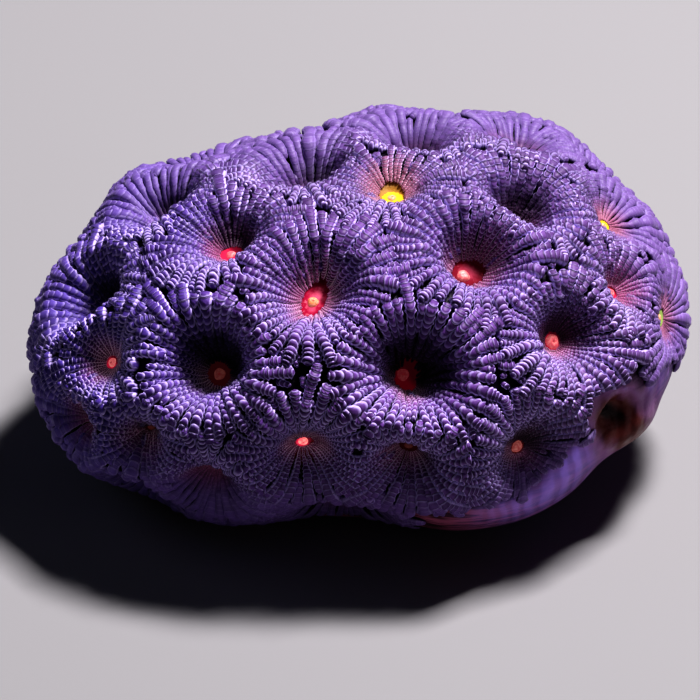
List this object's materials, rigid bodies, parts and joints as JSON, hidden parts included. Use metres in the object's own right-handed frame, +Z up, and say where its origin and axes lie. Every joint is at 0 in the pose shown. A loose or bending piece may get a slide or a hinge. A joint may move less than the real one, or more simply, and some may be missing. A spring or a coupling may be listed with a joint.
{
  "type": "brain coral",
  "caption": "Low domed brain coral colony with funnel-shaped pits, shared rounded walls and radiating ridges, cut off flat underneath to rest on.",
  "frame": {"origin": "middle of the colony's bounding box, on the plane of the flat cut it rests on", "axes": "+X to the colony's right as the picture shows it, along its longest side; +Y away from the picture's camera; +Z up, square to the flat cut"},
  "size_m": [0.0658, 0.0518, 0.0341],
  "materials": {
    "living_tissue": "damp violet living tissue over a stony skeleton, red and yellow mouths, brown margin"
  },
  "bodies": {
    "root": {"coral_head": "living_tissue"}
  },
  "joints": []
}
